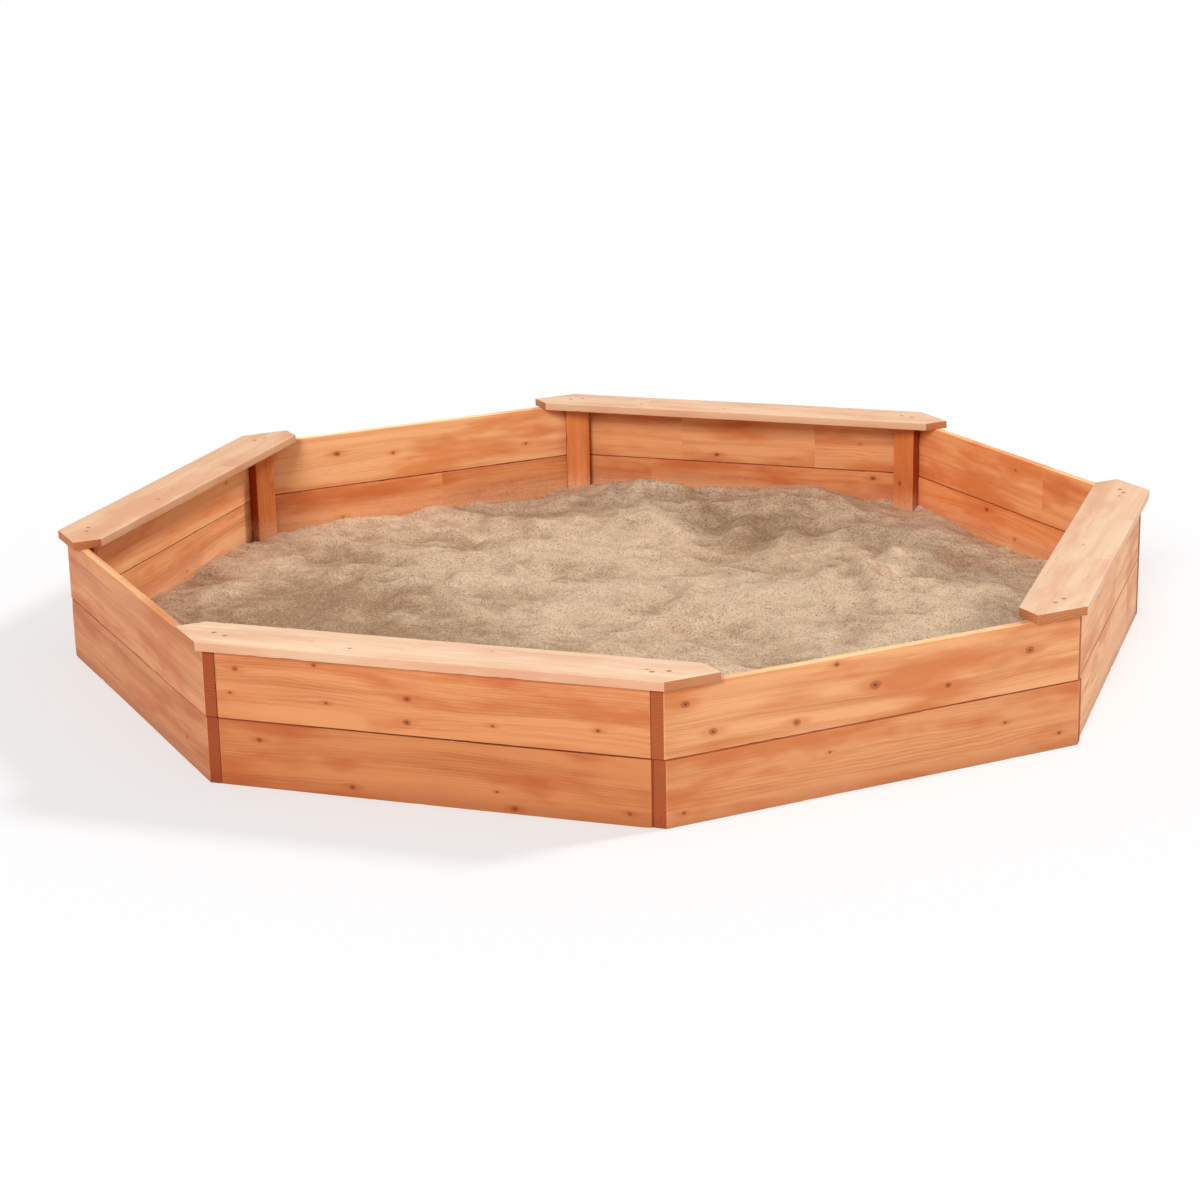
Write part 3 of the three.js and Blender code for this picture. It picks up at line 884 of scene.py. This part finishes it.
def screw_tree():
    """Countersunk cross-recessed screws on points, each driven along the point's own direction."""
    tree = bpy.data.node_groups.new("driven_screws", "GeometryNodeTree")
    number, geometry = "NodeSocketFloat", "NodeSocketGeometry"
    tree.interface.new_socket("Places", in_out="INPUT", socket_type=geometry)
    for label, value in (
        ("Head Diameter", SCREW_HEAD), ("Head Depth", SCREW_HEAD_DEPTH), ("Shank Diameter", SCREW_SHANK),
        ("Length", SCREW_LENGTH), ("Recess Width", 0.0038), ("Recess Depth", 0.0014),
    ):
        socket = tree.interface.new_socket(label, in_out="INPUT", socket_type=number)
        socket.default_value = value
    tree.interface.new_socket("Material", in_out="INPUT", socket_type="NodeSocketMaterial")
    tree.interface.new_socket("Screws", in_out="OUTPUT", socket_type=geometry)
    given = tree.nodes.new("NodeGroupInput").outputs
    result = tree.nodes.new("NodeGroupOutput").inputs

    def maths(operation, *values):
        return node(tree, "ShaderNodeMath", dict(enumerate(values)), operation=operation).outputs[0]

    def up(height):
        return node(tree, "ShaderNodeCombineXYZ", {"Z": height}).outputs[0]

    def moved(shape, height):
        return node(tree, "GeometryNodeTransform", {"Geometry": shape, "Translation": up(height)}).outputs[0]

    def cone(top, bottom, depth):
        inputs = {"Vertices": 28, "Radius Top": top, "Radius Bottom": bottom, "Depth": depth}
        return node(tree, "GeometryNodeMeshCone", inputs).outputs["Mesh"]

    head_radius = maths("MULTIPLY", given["Head Diameter"], 0.5)
    shank_radius = maths("MULTIPLY", given["Shank Diameter"], 0.5)
    head = cone(head_radius, shank_radius, given["Head Depth"])
    head = moved(head, maths("MULTIPLY", given["Head Depth"], -1.0))
    arms = node(tree, "GeometryNodeJoinGeometry")
    for size in ("X", "Y"):
        arm = node(tree, "ShaderNodeCombineXYZ", {"X": 0.0009, "Y": 0.0009, "Z": given["Recess Depth"]})
        tree.links.new(given["Recess Width"], arm.inputs[size])
        block = node(tree, "GeometryNodeMeshCube", {"Size": arm.outputs[0]}).outputs["Mesh"]
        tree.links.new(moved(block, maths("MULTIPLY", given["Recess Depth"], -0.4)), arms.inputs[0])
    shapes = {"Mesh 1": head, "Mesh 2": arms.outputs[0]}
    cut = node(tree, "GeometryNodeMeshBoolean", shapes, operation="DIFFERENCE")
    shank_length = maths("SUBTRACT", given["Length"], given["Head Depth"])
    shank_drop = maths("MULTIPLY", given["Length"], -1.0)
    shank = moved(cone(shank_radius, maths("MULTIPLY", shank_radius, 0.3), shank_length), shank_drop)
    whole = node(tree, "GeometryNodeJoinGeometry")
    tree.links.new(cut.outputs[0], whole.inputs[0])
    tree.links.new(shank, whole.inputs[0])

    way = node(tree, "GeometryNodeInputNamedAttribute", {"Name": "drive"}, data_type="FLOAT_VECTOR")
    aimed = node(tree, "FunctionNodeAlignRotationToVector", {"Vector": way.outputs[0]}, axis="Z")
    turn = node(tree, "FunctionNodeRandomValue", {"Seed": 7}, data_type="FLOAT")
    # Several sockets share the names Min and Max; these two are the ones for single numbers.
    turn.inputs[2].default_value = 0.0
    turn.inputs[3].default_value = math.tau
    spin = node(tree, "FunctionNodeAxisAngleToRotation", {"Axis": (0, 0, 1), "Angle": turn.outputs[1]})
    facing = node(tree, "FunctionNodeRotateRotation",
                  {"Rotation": aimed.outputs[0], "Rotate By": spin.outputs[0]}, rotation_space="LOCAL")
    placed = node(tree, "GeometryNodeInstanceOnPoints",
                  {"Points": given["Places"], "Instance": whole.outputs[0], "Rotation": facing.outputs[0]})
    real = node(tree, "GeometryNodeRealizeInstances", {"Geometry": placed.outputs[0]})
    finish = {"Geometry": real.outputs[0], "Material": given["Material"]}
    finished = node(tree, "GeometryNodeSetMaterial", finish)
    tree.links.new(finished.outputs[0], result[0])
    return tree


def grown(name, points, directions, tree, values, material):
    """Runs a geometry node tree on points, and keeps the result as a plain mesh."""
    mesh = bpy.data.meshes.new(name)
    mesh.from_pydata([tuple(p) for p in points], [], [])
    store(mesh, "drive", [tuple(d) for d in directions])
    holder = bpy.data.objects.new(name, mesh)
    bpy.context.collection.objects.link(holder)
    modifier = holder.modifiers.new("nodes", "NODES")
    modifier.node_group = tree
    sockets = {s.name: s.identifier for s in tree.interface.items_tree if s.in_out == "INPUT"}
    for label, value in values.items():
        modifier[sockets[label]] = value
    modifier[sockets["Material"]] = material
    graph = bpy.context.evaluated_depsgraph_get()
    result = bpy.data.meshes.new_from_object(holder.evaluated_get(graph))
    bpy.data.objects.remove(holder)
    bpy.data.meshes.remove(mesh)
    result.name = name
    piece = make_object(name, result, material)
    smooth(result, 30)
    return piece


def add_screws():
    tree = screw_tree()
    places = [screw_place(corner, side) for corner in range(SIDES) for side in (-1, 1)]
    upright = [(0, 0, 1)] * len(places)
    seat_screws = grown("seat_screws", places, upright, tree, {"Length": SCREW_LENGTH}, ZINC)
    nodes = [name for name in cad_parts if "_seat_screw_" in name]
    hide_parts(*nodes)
    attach(seat_screws, "root")


# ---------------------------------------------------------------- liner and sand

def floor_outline(plane, gap):
    """The floor inside the walls, cut out round the posts by a gap."""
    half = POST_FACE_WIDTH / 2 + gap
    face = POST_FACE_REACH - gap
    reach = (plane - half * math.sin(TURN / 2)) / math.cos(TURN / 2)
    points = []
    for corner in range(SIDES):
        stand = corner_place(corner, 0)
        for across, outward in ((-half, reach), (-half, face), (half, face), (half, reach)):
            spot = stand @ Vector((across, -outward, 0))
            points.append((spot.x, spot.y))
    return points


def outline_area(points):
    pairs = zip(points, points[1:] + points[:1])
    return 0.5 * sum(a[0] * b[1] - b[0] * a[1] for a, b in pairs)


def add_liner():
    outline = floor_outline(LINER_EDGE, LINER_CLEARANCE)
    body = prism(outline, 0, LINER_TOP)
    mesh = bpy.data.meshes.new("ground_liner_cloth")
    body.to_mesh(mesh)
    body.free()
    piece = make_object("ground_liner_cloth", mesh, LINER_CLOTH)
    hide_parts("ground_liner")
    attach(piece, "root")
    outline_area(outline)


# Heaps and hollows: place, rise, and how far each spreads along X and Y.
HEAPS = [
    (-0.185, INNER_APOTHEM - 0.090, 0.044, 0.105, 0.120), (0.145, INNER_APOTHEM - 0.080, 0.036, 0.120, 0.115),
    (0.480, 0.700, 0.012, 0.120, 0.110), (0.460, 0.330, 0.022, 0.170, 0.180),
    (-0.450, 0.010, 0.024, 0.170, 0.095), (-0.300, 0.340, 0.014, 0.150, 0.110),
    (-0.060, 0.500, -0.012, 0.240, 0.100), (0.060, 0.130, 0.014, 0.190, 0.080),
    (0.040, -0.090, -0.012, 0.230, 0.090), (-0.150, -0.480, 0.014, 0.300, 0.160),
    (0.560, -0.250, -0.008, 0.180, 0.160),
]

# Patches of painted shade on the sand: place, how far each spreads and how dark.
SAND_SHADE_PATCHES = [
    (-0.42, -0.30, 0.28, 0.20, 1.25), (-0.15, -0.60, 0.45, 0.15, 0.95), (-0.62, 0.15, 0.14, 0.25, 0.35),
    (0.02, 0.80, 0.50, 0.14, 0.25), (0.10, 0.36, 0.30, 0.05, 0.25), (0.70, -0.05, 0.12, 0.30, 0.20),
]


def footprints():
    """Shallow dents left by feet and hands: place, turn, half length, half width and depth."""
    dice = random.Random(5)
    dents = []
    for _ in range(64):
        angle, reach = dice.uniform(0, math.tau), 0.80 * math.sqrt(dice.random())
        dents.append((
            reach * math.cos(angle), reach * math.sin(angle), dice.uniform(0, math.pi),
            dice.uniform(0.040, 0.110), dice.uniform(0.022, 0.050), dice.uniform(0.005, 0.016),
        ))
    return dents


def sand_heights(points):
    """The height of the sand's surface at plan points, and how much painted shade it has there."""
    x, y = points[:, 0], points[:, 1]
    height = np.full(len(points), SAND_LEVEL)
    for heap_x, heap_y, rise, spread_x, spread_y in HEAPS:
        height += rise * np.exp(-(((x - heap_x) / spread_x) ** 2 + ((y - heap_y) / spread_y) ** 2) / 2)
    for dent_x, dent_y, turn, half_length, half_width, depth in footprints():
        along = (x - dent_x) * math.cos(turn) + (y - dent_y) * math.sin(turn)
        across = (y - dent_y) * math.cos(turn) - (x - dent_x) * math.sin(turn)
        spread = (along / half_length) ** 2 + (across / half_width) ** 2
        height += depth * (0.45 * np.exp(-((np.sqrt(spread) - 1.5) / 0.45) ** 2) - np.exp(-spread))
    rough, painted_sand_shade = [], []
    for px, py in points:
        bend = noise.noise(Vector((px * 2.3, py * 2.3, 2.0))) * 0.6
        ridge = 1 - abs(noise.noise(Vector((px * 2.6 + bend, py * 5.6 - bend, 5.0)))) * 2
        cross = 1 - abs(noise.noise(Vector((px * 6.3 - bend, py * 8.8 + bend, 8.0)))) * 2
        crest = 1 - abs(noise.noise(Vector((px * 12 + bend, py * 21 - bend, 4.0)))) * 2
        swell = noise.noise(Vector((px * 5.5, py * 7.5, 1.0)))
        lump = noise.fractal(Vector((px * 30, py * 38, 3.0)), 0.7, 2.1, 4)
        crumb = noise.noise(Vector((px * 110, py * 110, 9.0)))
        rough.append(0.016 * ridge + 0.009 * cross + 0.0055 * crest - 0.018 + 0.005 * swell + 0.0026 * lump
                     + 0.0008 * crumb)
        # Painted shade: darkest in the hollows, lighter on ridges, crests and swells.
        painted_sand_shade.append(0.82 - 0.42 * ridge - 0.30 * cross - 0.34 * crest - 0.30 * swell - 0.10 * lump)
    painted_sand_shade = np.array(painted_sand_shade)
    for shade_x, shade_y, spread_x, spread_y, amount in SAND_SHADE_PATCHES:
        painted_sand_shade += amount * np.exp(-(((x - shade_x) / spread_x) ** 2 + ((y - shade_y) / spread_y) ** 2) / 2)
    return height + np.array(rough), painted_sand_shade


def add_sand():
    edge = floor_outline(SAND_EDGE, SAND_CLEARANCE)
    outline = []
    for here, ahead in zip(edge, edge[1:] + edge[:1]):
        start, end = Vector(here), Vector(ahead)
        count = max(1, round((end - start).length / SAND_STEP))
        outline += [start.lerp(end, n / count) for n in range(count)]
    steps = np.arange(-SAND_EDGE, SAND_EDGE, SAND_STEP)
    grid = np.array([(px + (row % 2) * SAND_STEP / 2, py) for row, py in enumerate(steps) for px in steps])
    grid = grid[inside_floor(grid, SAND_STEP * 0.6)]
    loose = [Vector(p) for p in grid]
    ring = len(outline)
    rim = [(n, (n + 1) % ring) for n in range(ring)]
    points, _, faces, *_ = delaunay_2d_cdt(outline + loose, rim, [], 1, 1e-7)
    plan = np.array([tuple(p) for p in points])
    heights, painted_sand_shade = sand_heights(plan)
    heights = np.maximum(heights, SAND_BASE + 0.004)

    body = bmesh.new()
    top = [body.verts.new((p[0], p[1], h)) for p, h in zip(plan, heights)]
    for face in faces:
        body.faces.new([top[n] for n in face])
    border = [e for e in body.edges if e.is_boundary]
    skirt = bmesh.ops.extrude_edge_only(body, edges=border)["geom"]
    low = [part for part in skirt if isinstance(part, bmesh.types.BMVert)]
    for vert in low:
        vert.co.z = SAND_BASE
    bottom = [e for e in skirt if isinstance(e, bmesh.types.BMEdge) and e.is_boundary]
    bmesh.ops.contextual_create(body, geom=bottom)
    bmesh.ops.recalc_face_normals(body, faces=body.faces)
    mesh = bpy.data.meshes.new("sand_surface")
    body.to_mesh(mesh)
    body.free()
    piece = make_object("sand_surface", mesh, SAND)
    # The painted shade, stored for the sand's shader.
    sand_shade_layer = np.zeros((len(mesh.vertices), 3))
    sand_shade_layer[:len(painted_sand_shade), 0] = painted_sand_shade
    store(mesh, "painted_sand_shade", sand_shade_layer)
    smooth(mesh, 50)
    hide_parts("sand_fill")
    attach(piece, "root")


def inside_floor(points, margin):
    """Which plan points lie inside the walls and clear of the posts, by a margin."""
    inside = np.ones(len(points), dtype=bool)
    for index in range(SIDES):
        angle = -math.pi / 2 + index * TURN
        outward = points[:, 0] * math.cos(angle) + points[:, 1] * math.sin(angle)
        inside &= outward < SAND_EDGE - margin
        angle += TURN / 2
        outward = points[:, 0] * math.cos(angle) + points[:, 1] * math.sin(angle)
        across = points[:, 1] * math.cos(angle) - points[:, 0] * math.sin(angle)
        beside = np.abs(across) < POST_FACE_WIDTH / 2 + SAND_CLEARANCE + margin
        inside &= ~(beside & (outward > POST_FACE_REACH - SAND_CLEARANCE - margin))
    return inside


# ---------------------------------------------------------------- the whole object

add_camera()
studio_floor = add_studio()
add_boards()
add_posts()
add_seats()
add_screws()
add_liner()
add_sand()
